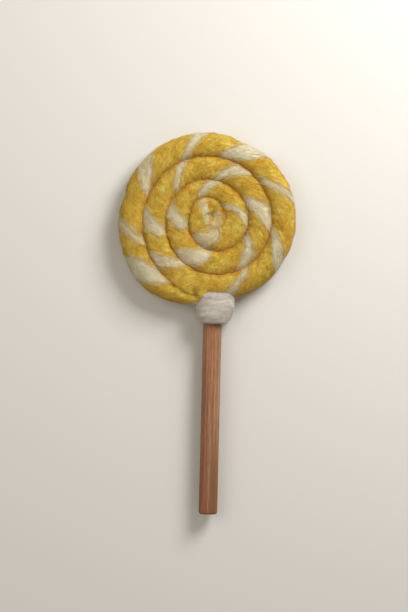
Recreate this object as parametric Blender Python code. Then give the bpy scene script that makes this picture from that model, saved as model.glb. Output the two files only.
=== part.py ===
"""A toy lollipop of needle-felted wool, lying on its back.

A yellow and a cream strand of wool are twisted into one rope. The rope is wound into a flat coil,
and a collar of white wool binds the coil's rim to a wooden dowel. The coil's face looks up (+Z),
the dowel points to -Y, and the part rests on its back at Z = 0.

Along the coil, an angle is counted in degrees clockwise from the dowel as seen from above. It grows
with every turn, from the rope's outer end inside the collar to its inner end at the eye.
"""

import math

import bmesh
import bpy
from mathutils import Vector

# The coil about its eye: the radius of the groove that bounds the rope on its outer side
RIM_RADIUS = 0.0425
TURN_PITCH = 0.01007
OFF_CENTRE = 0.0039
OFF_CENTRE_AT = 340.0
OVAL = 0.00043
OVAL_AT = 146.0
EYE_KNOB_RADIUS = 0.0069
EYE_KNOB_OFFSET = 0.0016
EYE_KNOB_AT = 68.0
EYE_KNOB_CLOSES = (1420.0, 1466.0)
EYE_PIT_RADIUS = 0.0007
# Where the outer turn's rim is pressed in: degrees along the coil, half length in degrees, depth
RIM_DENTS = ((99.0, 9.0, 0.0009), (204.0, 24.0, 0.0012), (302.0, 9.0, 0.0006))

# The rope
ROPE_START = 4.5
ROPE_END = 1458.0
ROPE_HALF_THICKNESS = 0.0060
ROPE_HALF_WIDTH = TURN_PITCH / 2
ROPE_SQUARENESS = 2.2
THIN_END_POWER = 0.45
START_TAPER = 0.0056
START_TAPER_ENDS = 48.0
FLOOR_FLAT = 0.00035
COIL_MID_HEIGHT = ROPE_HALF_THICKNESS - FLOOR_FLAT

# Where the cream strand crosses the coil's face: degrees along the coil, share of the rope's girth
CREAM_CROSSINGS = (
    (-48.0, 0.22), (-7.0, 0.24), (41.0, 0.40), (71.0, 0.16), (117.0, 0.21), (162.0, 0.13),
    (201.0, 0.32), (245.0, 0.13), (296.0, 0.17), (337.0, 0.13), (403.0, 0.16), (436.0, 0.20),
    (497.0, 0.12), (565.0, 0.17), (621.0, 0.24), (674.0, 0.18), (733.0, 0.26), (799.0, 0.19),
    (885.0, 0.15), (982.0, 0.13), (1080.0, 0.27), (1190.0, 0.21), (1400.0, 0.27), (1600.0, 0.27),
    (1800.0, 0.27),
)
# How much slower than on average the strands twist as they cross the face, where felting drew them out
FACE_SLOWING = 0.42
CREAM_DEPTH = 0.34
CREAM_DEPTH_BY_SHARE = 0.50
CREAM_EDGE_DEPTH = 0.12
STRAND_EDGE_ROLL = 0.00035
GAP = 0.00030

# How finely the strands are made: the longest step along the rope, in turns of the twist and in degrees
STATION_TURN = 0.102
STATION_ANGLE = 8.5
YELLOW_OUTER_POINTS = 10
CREAM_OUTER_POINTS = 4
CREAM_INNER_SPREAD = (-0.55, 0.55)

# The dowel, along -Y beside the eye
DOWEL_RADIUS = 0.0040
DOWEL_OFFSET_X = 0.0020
DOWEL_FOOT_Y = -0.1283
DOWEL_TOP_Y = -0.0376
DOWEL_EDGE_ROUND = 0.0010
DOWEL_EDGE_STEPS = 3
DOWEL_SIDES = 32

# The collar: stations from its lip on the coil's face to its foot
# Each is distance below the eye, half width, half height, sideways shift from the dowel's axis
COLLAR_STATIONS = (
    (0.0345, 0.0066, 0.0052, 0.0009),
    (0.0349, 0.0073, 0.0060, 0.0009),
    (0.0360, 0.0078, 0.0066, 0.0008),
    (0.0380, 0.0081, 0.0068, 0.0006),
    (0.0405, 0.0083, 0.0069, 0.0004),
    (0.0428, 0.0081, 0.0068, 0.0002),
    (0.0445, 0.0076, 0.0065, 0.0001),
    (0.0459, 0.0068, 0.0059, 0.0000),
    (0.0467, 0.0058, 0.0052, 0.0000),
    (0.0469, 0.0051, 0.0048, 0.0000),
)
COLLAR_MID_HEIGHT = 0.0062
COLLAR_SQUARENESS = 2.3
COLLAR_SIDES = 28

# The seats that the coil's rope leaves in the collar: first and last degree along the coil
COLLAR_SEATS = ((ROPE_START - 0.8, 44.0), (318.0, 412.0))
SEAT_STEP = 4.5
SEAT_SIDES = 20
SEAT_CLEARANCE = 1.4 * GAP

# The slab that cuts the floor flat
FLOOR_HALF_SIZE = 0.15
FLOOR_DEPTH = 0.02

SHARP_EDGE = math.radians(50)
WOOL_ROUGHNESS = 0.95
WOOD_ROUGHNESS = 0.55


def smooth_step(low, high, value):
    """0 below low, 1 above high and an even S between them."""
    share = min(1.0, max(0.0, (value - low) / (high - low)))
    return share * share * (3 - 2 * share)


def wave(angle, peak, order=1):
    """A swell of height 1 that peaks in one direction, order times a turn."""
    return math.cos(math.radians(order * (angle - peak)))


def groove_radius(angle):
    """Radius of the rope's outer side, which is also the inner side of the rope one turn before."""
    spiral = RIM_RADIUS - TURN_PITCH * angle / 360
    spiral += OFF_CENTRE * wave(angle, OFF_CENTRE_AT) + OVAL * wave(angle, OVAL_AT, 2)
    knob = EYE_KNOB_RADIUS + EYE_KNOB_OFFSET * wave(angle, EYE_KNOB_AT)
    knob *= 1 - smooth_step(*EYE_KNOB_CLOSES, angle)
    radius = max(spiral, knob, EYE_PIT_RADIUS)
    for middle, half_length, depth in RIM_DENTS:
        away = abs(angle - middle) / half_length
        radius -= depth * (1 - smooth_step(0, 1, away))
    return radius


def rope_size(angle):
    """The rope's middle radius, half width and half thickness, with half the gap off each side."""
    taper = START_TAPER * (1 - smooth_step(ROPE_START, START_TAPER_ENDS, angle))
    inner = groove_radius(angle + 360) + GAP / 2
    outer = max(groove_radius(angle) - taper - GAP / 2, inner + 2 * GAP)
    half_width = (outer - inner) / 2
    thinness = min(1.0, half_width / ROPE_HALF_WIDTH)
    return (inner + outer) / 2, half_width, ROPE_HALF_THICKNESS * thinness**THIN_END_POWER


def through(values, place):
    """A smooth curve through evenly spaced values, read at a place counted in values."""
    index = min(max(int(place), 1), len(values) - 3)
    before, here, after, beyond = values[index - 1 : index + 3]
    t = place - index
    bend = 2 * before - 5 * here + 4 * after - beyond
    turn = 3 * (here - after) + beyond - before
    return here + 0.5 * t * (after - before + t * (bend + t * turn))


def twist_at(angle):
    """How many twists the rope has made at an angle along the coil."""
    angles = [crossing[0] for crossing in CREAM_CROSSINGS]
    low, high = 1.0, len(angles) - 2.0
    for _ in range(40):
        middle = (low + high) / 2
        if through(angles, middle) < angle:
            low = middle
        else:
            high = middle
    return low


def cream_turn(twist):
    """Where the cream strand lies round the rope's section, up at each whole twist."""
    past_face = 2 * math.pi * twist
    return math.pi / 2 - past_face + FACE_SLOWING * math.sin(past_face)


def twist_stations():
    """Twist counts along the rope, each with its angle along the coil and the cream strand's share."""
    angles = [crossing[0] for crossing in CREAM_CROSSINGS]
    shares = [crossing[1] for crossing in CREAM_CROSSINGS]
    twist, last = twist_at(ROPE_START), twist_at(ROPE_END)
    stations = []
    while twist < last:
        stations.append((twist, through(angles, twist), through(shares, twist)))
        step = STATION_TURN / (1 - FACE_SLOWING * math.cos(2 * math.pi * twist))
        ahead = through(angles, twist + step) - through(angles, twist)
        twist += step * min(1.0, STATION_ANGLE / ahead)
    return stations


def rounded_reach(direction, half_width, half_height, squareness):
    """Distance from the middle of a rounded section to its rim, in one direction."""
    across = abs(math.cos(direction)) / half_width
    up = abs(math.sin(direction)) / half_height
    return (across**squareness + up**squareness) ** (-1 / squareness)


def rope_point(angle, turn, depth=0.0, deeper=0.0):
    """A point of the rope's section.

    The turn round the section is 0 away from the eye, and a quarter turn is up. The point lies under
    the rim by a share of the section's reach and a length more.
    """
    middle_radius, half_width, half_thickness = rope_size(angle)
    direction = math.atan2(half_thickness * math.sin(turn), half_width * math.cos(turn))
    reach = rounded_reach(direction, half_width, half_thickness, ROPE_SQUARENESS)
    reach = reach * (1 - depth) - deeper
    radius = middle_radius + reach * math.cos(direction)
    around = math.radians(angle)
    height = COIL_MID_HEIGHT + reach * math.sin(direction)
    return Vector((-radius * math.sin(around), -radius * math.cos(around), height))


def cream_depth(spread, share):
    """How deep the cream strand's inner side lies, as a share of the section's reach."""
    middle = CREAM_DEPTH + CREAM_DEPTH_BY_SHARE * share
    return CREAM_EDGE_DEPTH + (middle - CREAM_EDGE_DEPTH) * math.cos(spread * math.pi / 2)


def spread_evenly(low, high, count):
    """Evenly spaced numbers from low to high, both included."""
    return [low + (high - low) * i / (count - 1) for i in range(count)]


def cream_ring(station):
    """The cream strand's section at a station: along its outer side, then back along its inner side."""
    twist, angle, share = station
    facing = cream_turn(twist)
    half_angle = math.pi * share
    roll = STRAND_EDGE_ROLL * min(1.0, rope_size(angle)[1] / ROPE_HALF_WIDTH)
    ring = []
    for spread in spread_evenly(-1, 1, CREAM_OUTER_POINTS):
        at_edge = abs(spread) == 1
        ring.append(rope_point(angle, facing + half_angle * spread, 0.0, roll if at_edge else 0.0))
    for spread in reversed(CREAM_INNER_SPREAD):
        ring.append(rope_point(angle, facing + half_angle * spread, cream_depth(spread, share)))
    return ring


def yellow_ring(station):
    """The yellow strand's section at a station: round its outer side, then over the cream strand's bed."""
    twist, angle, share = station
    half_width, half_thickness = rope_size(angle)[1:]
    facing = cream_turn(twist)
    half_angle = math.pi * share
    edge = half_angle + 2 * GAP / (half_width + half_thickness)
    roll = STRAND_EDGE_ROLL * min(1.0, half_width / ROPE_HALF_WIDTH)
    rim = spread_evenly(edge, 2 * math.pi - edge, YELLOW_OUTER_POINTS)
    ring = []
    for index, spread in enumerate(rim):
        at_edge = index in (0, YELLOW_OUTER_POINTS - 1)
        ring.append(rope_point(angle, facing + spread, 0.0, roll if at_edge else 0.0))
    ring.append(rope_point(angle, facing - edge, cream_depth(1.0, share), GAP))
    for spread in CREAM_INNER_SPREAD:
        ring.append(rope_point(angle, facing + half_angle * spread, cream_depth(spread, share), GAP))
    ring.append(rope_point(angle, facing + edge, cream_depth(1.0, share), GAP))
    return ring


def loft(name, rings, material, turned_sides=()):
    """A closed solid through rings of equal length, with a flat face at each end.

    Every side is split by the diagonal that runs forward with the ring, or on a turned side back.
    Two twisted strands that share a wall then split it alike, and don't cut into each other.
    """
    mesh = bmesh.new()
    rows = [[mesh.verts.new(point) for point in ring] for ring in rings]
    for row, following in zip(rows, rows[1:]):
        for i, here in enumerate(row):
            beside = (i + 1) % len(row)
            corners = [here, row[beside], following[beside], following[i]]
            if i in turned_sides:
                corners = corners[1:] + corners[:1]
            mesh.faces.new((corners[0], corners[1], corners[2]))
            mesh.faces.new((corners[0], corners[2], corners[3]))
    mesh.faces.new(rows[0])
    mesh.faces.new(rows[-1])
    bmesh.ops.recalc_face_normals(mesh, faces=mesh.faces)
    data = bpy.data.meshes.new(name)
    mesh.to_mesh(data)
    mesh.free()
    data.materials.append(material)
    data.shade_smooth()
    data.set_sharp_from_angle(angle=SHARP_EDGE)
    made = bpy.data.objects.new(name, data)
    bpy.context.scene.collection.objects.link(made)
    return made


def finish(name, colour, roughness):
    """A plain Principled material."""
    material = bpy.data.materials.new(name)
    material.use_nodes = True
    shader = material.node_tree.nodes["Principled BSDF"]
    shader.inputs["Base Color"].default_value = (*colour, 1.0)
    shader.inputs["Roughness"].default_value = roughness
    shader.inputs["Metallic"].default_value = 0.0
    material.diffuse_color = (*colour, 1.0)
    return material


def cut(target, cutter):
    """Takes one solid out of another, which keeps it as a live Boolean."""
    cutter.hide_render = True
    cutter.display_type = "WIRE"
    boolean = target.modifiers.new("cut by " + cutter.name, "BOOLEAN")
    boolean.operation = "DIFFERENCE"
    boolean.solver = "EXACT"
    boolean.object = cutter


def make_floor_cutter(material):
    """A slab under the floor, which leaves the coil and the collar a flat to rest on."""
    corners = ((-1, -1), (1, -1), (1, 1), (-1, 1))
    rings = []
    for height in (-FLOOR_DEPTH, 0.0):
        rings.append([Vector((x * FLOOR_HALF_SIZE, y * FLOOR_HALF_SIZE, height)) for x, y in corners])
    return loft("floor_cutter", rings, material)


def make_yellow_strand(material, floor_cutter):
    """The thick strand of the rope, from the rim to the eye."""
    strand = loft("yellow_strand", [yellow_ring(station) for station in twist_stations()], material)
    cut(strand, floor_cutter)


def make_cream_strand(material, floor_cutter):
    """The thin strand of the rope, which lies in the thick one's bed."""
    inner_sides = range(CREAM_OUTER_POINTS - 1, CREAM_OUTER_POINTS + len(CREAM_INNER_SPREAD))
    rings = [cream_ring(station) for station in twist_stations()]
    strand = loft("cream_strand", rings, material, inner_sides)
    cut(strand, floor_cutter)


def collar_ring(station):
    """The collar's section across the dowel's axis."""
    below, half_width, half_height, shift = station
    ring = []
    for i in range(COLLAR_SIDES):
        around = 2 * math.pi * i / COLLAR_SIDES
        reach = rounded_reach(around, half_width, half_height, COLLAR_SQUARENESS)
        x = DOWEL_OFFSET_X + shift + reach * math.cos(around)
        ring.append(Vector((x, -below, COLLAR_MID_HEIGHT + reach * math.sin(around))))
    return ring


def make_seat_cutter(number, first_angle, last_angle, material):
    """A stretch of the whole rope, a gap larger all round, that the collar closes over."""
    rings = []
    for angle in spread_evenly(first_angle, last_angle, round((last_angle - first_angle) / SEAT_STEP)):
        turns = [2 * math.pi * i / SEAT_SIDES for i in range(SEAT_SIDES)]
        rings.append([rope_point(angle, turn, 0.0, -SEAT_CLEARANCE) for turn in turns])
    return loft(f"seat_cutter_{number}", rings, material)


def dowel_rings(radius, low_y, high_y):
    """Rings of a round bar along Y, with both edges rounded."""
    low_end = [(low_y, radius - DOWEL_EDGE_ROUND)]
    for i in range(1, DOWEL_EDGE_STEPS + 1):
        turn = math.pi / 2 * i / DOWEL_EDGE_STEPS
        y = low_y + DOWEL_EDGE_ROUND * (1 - math.cos(turn))
        low_end.append((y, radius - DOWEL_EDGE_ROUND * (1 - math.sin(turn))))
    high_end = [(low_y + high_y - y, reach) for y, reach in reversed(low_end)]
    rings = []
    for y, reach in low_end + high_end:
        ring = []
        for i in range(DOWEL_SIDES):
            around = 2 * math.pi * i / DOWEL_SIDES
            x = DOWEL_OFFSET_X + reach * math.cos(around)
            ring.append(Vector((x, y, COIL_MID_HEIGHT + reach * math.sin(around))))
        rings.append(ring)
    return rings


def make_dowel(material):
    """The wooden stick, whose top end stops inside the collar just short of the coil's rope."""
    loft("dowel", dowel_rings(DOWEL_RADIUS, DOWEL_FOOT_Y, DOWEL_TOP_Y), material)


def make_collar(material, cutter_material, floor_cutter):
    """The wool binding round the dowel's top, seated over the coil's rim on both faces."""
    collar = loft("collar", [collar_ring(station) for station in COLLAR_STATIONS], material)
    for number, (first, last) in enumerate(COLLAR_SEATS):
        cut(collar, make_seat_cutter(number, first, last, cutter_material))
    past_the_foot = -COLLAR_STATIONS[-1][0] - DOWEL_RADIUS
    bore = dowel_rings(DOWEL_RADIUS + GAP, past_the_foot, DOWEL_TOP_Y + GAP)
    cut(collar, loft("bore_cutter", bore, cutter_material))
    cut(collar, floor_cutter)


def centre_on_floor(made):
    """Moves everything so that the middle of the object's box is over the frame's origin."""
    shown = [obj for obj in made if not obj.hide_render]
    points = [corner.co for obj in shown for corner in obj.data.vertices]
    middle_x = (min(p.x for p in points) + max(p.x for p in points)) / 2
    middle_y = (min(p.y for p in points) + max(p.y for p in points)) / 2
    for obj in made:
        obj.location = (-middle_x, -middle_y, 0.0)


def main():
    """Builds the lollipop."""
    for obj in list(bpy.data.objects):
        bpy.data.objects.remove(obj)
    cutter_material = finish("cutter", (0.5, 0.5, 0.5), WOOL_ROUGHNESS)
    floor_cutter = make_floor_cutter(cutter_material)
    make_yellow_strand(finish("yellow wool", (0.62, 0.37, 0.06), WOOL_ROUGHNESS), floor_cutter)
    make_cream_strand(finish("cream wool", (0.68, 0.60, 0.42), WOOL_ROUGHNESS), floor_cutter)
    white = finish("white wool", (0.66, 0.61, 0.55), WOOL_ROUGHNESS)
    make_collar(white, cutter_material, floor_cutter)
    make_dowel(finish("dowel wood", (0.42, 0.21, 0.12), WOOD_ROUGHNESS))
    centre_on_floor(list(bpy.data.objects))


main()
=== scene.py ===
"""The looks of a toy lollipop of needle-felted wool, which lies on its back with its face up.

A yellow and a cream strand of wool are twisted into a rope, the rope is wound into a flat coil, and
a collar of white wool binds the coil to a wooden dowel. Each strand and the collar is a mesh with
the lumps and creases of felt, and Geometry Nodes lay loose fibres over it. The dowel is bare wood.

Along the coil, an angle is counted in degrees clockwise from the dowel as the face is seen. It grows
with every turn, from the rope's outer end inside the collar to its inner end at the eye. All sizes
are in metres.
"""

import logging
import math
from dataclasses import dataclass
from enum import Enum, IntEnum
from typing import Any

import bpy
import numpy as np
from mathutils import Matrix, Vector, noise


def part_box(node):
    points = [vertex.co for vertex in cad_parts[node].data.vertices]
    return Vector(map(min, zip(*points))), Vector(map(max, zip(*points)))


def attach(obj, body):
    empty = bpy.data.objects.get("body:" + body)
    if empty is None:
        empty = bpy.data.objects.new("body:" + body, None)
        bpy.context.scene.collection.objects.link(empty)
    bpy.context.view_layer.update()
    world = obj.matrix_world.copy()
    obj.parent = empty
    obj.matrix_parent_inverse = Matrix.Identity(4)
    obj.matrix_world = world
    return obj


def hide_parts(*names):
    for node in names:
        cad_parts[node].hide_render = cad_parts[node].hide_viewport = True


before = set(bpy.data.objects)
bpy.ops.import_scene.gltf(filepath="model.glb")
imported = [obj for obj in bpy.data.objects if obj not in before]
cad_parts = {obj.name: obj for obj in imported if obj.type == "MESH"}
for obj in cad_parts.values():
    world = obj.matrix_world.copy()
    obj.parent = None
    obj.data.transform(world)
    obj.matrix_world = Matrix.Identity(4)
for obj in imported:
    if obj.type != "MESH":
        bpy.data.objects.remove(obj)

Values = np.ndarray
Socket = bpy.types.NodeSocket
Triple = tuple[float, float, float]
Colour = tuple[float, float, float]
Shades = tuple[Colour, Colour, Colour]
Ends = tuple[float, float]

LOG = logging.getLogger("felt lollipop")
BODY = "root"
SHARP_ANGLE = math.radians(38)
TURN = 360
MILLIMETRES = 1000
# How far the wool's underside stays off the floor
FLOOR_GAP = 0.00012
# Where the eye is, aside of the dowel's axis and above its foot
EYE_ASIDE = -0.0020
EYE_ABOVE_FOOT = 0.1283


class Strand(Enum):
    """The two strands that are twisted into the rope."""

    YELLOW = "yellow"
    CREAM = "cream"


class Slot(Enum):
    """The record's material slots."""

    YELLOW = "yellow_wool"
    CREAM = "cream_wool"
    WHITE = "white_wool"
    WOOD = "dowel_wood"


class Cover(Enum):
    """Where a coat of fibres grows: the attribute that says how thickly."""

    EXPOSED = "exposed"
    CROSSED = "crossed"
    HOLLOW = "hollow"
    BRIM = "brim"


class Salt(IntEnum):
    """What keeps the random numbers of a fibre apart."""

    LENGTH = 11
    TONE = 31
    ASIDE = 57
    RISE = 83


def smooth_step(low: float, high: float, value: Values) -> Values:
    """0 below low, 1 above high and an even S between them."""
    share = np.clip((value - low) / (high - low), 0.0, 1.0)
    return share * share * (3 - 2 * share)


def wave(angle: Values, peak: float, order: float = 1) -> Values:
    """A swell of height 1 that peaks in one direction, order times a turn."""
    return np.cos(np.radians(order * (angle - peak)))


def stacked(*parts: Values | float) -> Values:
    """Joins parts, whose shapes fit each other, into a vector for each place."""
    return np.stack(np.broadcast_arrays(*parts), axis=-1)


def running_sum(steps: Values) -> Values:
    """The sum of the steps before each place, from 0 on."""
    return np.concatenate([[0.0], np.cumsum(steps)])


def through(values: Values, place: Values) -> Values:
    """Reads a smooth curve through evenly spaced values.

    Args:
        values: The values that the curve passes through.
        place: Where to read it, counted in values.

    Returns:
        The curve's value at each place.
    """
    index = np.clip(place.astype(int), 1, len(values) - 3)
    before, here, after, beyond = (values[index + step] for step in (-1, 0, 1, 2))
    t = place - index
    bend = 2 * before - 5 * here + 4 * after - beyond
    turn = 3 * (here - after) + beyond - before
    return here + 0.5 * t * (after - before + t * (bend + t * turn))


def lumps(points: Values, wavelength: float, seed: float) -> Values:
    """Reads soft noise at points.

    Args:
        points: The points, with 3 numbers on the last axis.
        wavelength: About the way from one lump to the next.
        seed: What shifts the noise.

    Returns:
        A value between about -1 and 1 for each point.
    """
    scaled = points.reshape(-1, 3) / wavelength + seed
    found = [noise.noise(Vector(point)) for point in scaled]
    return np.array(found).reshape(points.shape[:-1])


def off_line(x: Values, y: Values, start: Ends, end: Ends) -> Values:
    """Measures how far places are from a straight line.

    Args:
        x: The places' first coordinate.
        y: The places' second coordinate.
        start: One end of the line.
        end: The line's other end.

    Returns:
        The distance for each place.
    """
    long_x, long_y = end[0] - start[0], end[1] - start[1]
    part = ((x - start[0]) * long_x + (y - start[1]) * long_y) / (long_x**2 + long_y**2)
    part = np.clip(part, 0.0, 1.0)
    return np.hypot(x - start[0] - part * long_x, y - start[1] - part * long_y)


def rim_reach(direction: Values, half_width: Values, half_height: Values, squareness: float) -> Values:
    """Measures a rounded section from its middle to its rim.

    Args:
        direction: The direction from the middle, in radians.
        half_width: Half the section's width.
        half_height: Half its height.
        squareness: 2 for an ellipse, and more for a squarer form.

    Returns:
        The reach in each direction.
    """
    aside = np.abs(np.cos(direction) / half_width) ** squareness
    return (aside + np.abs(np.sin(direction) / half_height) ** squareness) ** (-1 / squareness)


def add_object(name: str, data: bpy.types.ID) -> bpy.types.Object:
    """Makes an object and puts it in the scene.

    Args:
        name: The object's name.
        data: Its mesh, lamp or camera.

    Returns:
        The new object.
    """
    made = bpy.data.objects.new(name, data)
    bpy.context.scene.collection.objects.link(made)
    return made


class Wiring:
    """Adds nodes to a node tree and wires them."""

    def __init__(self, tree: bpy.types.NodeTree) -> None:
        """Starts on a tree."""
        self.tree = tree

    def put(self, target: Socket, value: Any) -> None:
        """Wires a socket to an input, or gives the input a plain value.

        Args:
            target: The input.
            value: The socket or the value.
        """
        if isinstance(value, Socket):
            self.tree.links.new(value, target)
        else:
            target.default_value = value

    def find(self, node: bpy.types.Node, key: str) -> Socket:
        """Finds an enabled input of a node.

        Args:
            node: The node.
            key: The input's name, with an optional number among the inputs of that name.

        Returns:
            The input.
        """
        name, _, number = key.rpartition("_")
        if not number.isdigit():
            name, number = key, "0"
        wanted = name.replace("_", " ").lower()
        named = [socket for socket in node.inputs if socket.enabled and socket.name.lower() == wanted]
        return named[int(number)]

    def add(self, kind: str, settings: dict[str, Any] | None = None, **inputs: Any) -> bpy.types.Node:
        """Adds a node.

        Args:
            kind: The node's type.
            settings: Properties of the node itself.
            inputs: A value or a socket for each input, under its name with underscores for spaces,
                and with a number behind it where several inputs share a name.

        Returns:
            The new node.
        """
        node = self.tree.nodes.new(kind)
        for key, value in (settings or {}).items():
            setattr(node, key, value)
        for key, value in inputs.items():
            self.put(self.find(node, key), value)
        return node

    def out(self, kind: str, settings: dict[str, Any] | None = None, **inputs: Any) -> Socket:
        """Adds a node and gives its first enabled output."""
        node = self.add(kind, settings, **inputs)
        return next(socket for socket in node.outputs if socket.enabled)

    def math(self, operation: str, *values: Any) -> Socket:
        """Adds a Math node on one, two or three values."""
        inputs = {f"Value_{number}": value for number, value in enumerate(values)}
        return self.out("ShaderNodeMath", {"operation": operation}, **inputs)

    def spread(self, value: Socket, middle: float, gain: float, base: float = 0.0) -> Socket:
        """Spreads a value about a middle, which becomes the base."""
        return self.math("MULTIPLY_ADD", self.math("SUBTRACT", value, middle), gain, base)

    def clamp(self, value: Socket) -> Socket:
        """Keeps a value between 0 and 1."""
        return self.out("ShaderNodeClamp", None, Value=value)

    def stretch(self, place: Socket, scale: Triple) -> Socket:
        """Multiplies a place by a factor for each axis."""
        return self.out("ShaderNodeVectorMath", {"operation": "MULTIPLY"}, Vector_0=place, Vector_1=scale)

    def scale(self, place: Socket, factor: Any) -> Socket:
        """Multiplies a vector by one factor."""
        return self.out("ShaderNodeVectorMath", {"operation": "SCALE"}, Vector_0=place, Scale=factor)

    def noise(self, place: Socket, size: float = 1.0, detail: float = 1.0, **more: float) -> Socket:
        """Adds noise with lumps of about a size."""
        return self.out("ShaderNodeTexNoise", None, Vector=place, Scale=1 / size, Detail=detail, **more)

    def ramp(self, value: Socket, places: tuple[float, ...], colours: tuple[Colour, ...]) -> Socket:
        """Turns a value into a colour.

        Args:
            value: The value.
            places: The values at which the ramp has its colours.
            colours: The colour at each of them.

        Returns:
            The colour.
        """
        node = self.add("ShaderNodeValToRGB", None, Fac=value)
        band = node.color_ramp
        while len(band.elements) < len(places):
            band.elements.new(0.5)
        for element, place, colour in zip(band.elements, places, colours):
            element.position = place
            element.color = (*colour, 1.0)
        return node.outputs["Color"]

    def mix(self, share: Any, first: Socket, second: Any, blend: str = "MIX") -> Socket:
        """Mixes two colours.

        Args:
            share: How much of the second one is taken.
            first: The first colour.
            second: The second colour, as a socket or as three numbers.
            blend: How they are mixed.

        Returns:
            The mixed colour.
        """
        node = self.add("ShaderNodeMix", {"data_type": "RGBA", "blend_type": blend})
        second = (*second, 1.0) if isinstance(second, tuple) else second
        for number, value in ((0, share), (6, first), (7, second)):
            self.put(node.inputs[number], value)
        return node.outputs[2]


class MaterialWiring(Wiring):
    """Makes a material and wires its nodes."""

    def __init__(self, name: str) -> None:
        """Makes a material that has only its shader."""
        self.material = bpy.data.materials.new(name)
        self.material.use_nodes = True
        super().__init__(self.material.node_tree)

    def place(self) -> Socket:
        """The place on the piece."""
        return self.add("ShaderNodeTexCoord").outputs["Object"]

    def attribute(self, name: str, output: str = "Fac") -> Socket:
        """Reads an attribute of the mesh."""
        return self.add("ShaderNodeAttribute", {"attribute_name": name}).outputs[output]

    def surface(self, values: dict[str, Any]) -> bpy.types.Material:
        """Finishes the material.

        Args:
            values: A socket or a constant for each of the shader's inputs that is set.

        Returns:
            The material.
        """
        shader = self.tree.nodes["Principled BSDF"]
        for name, value in values.items():
            self.put(shader.inputs[name], value)
        return self.material


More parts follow.
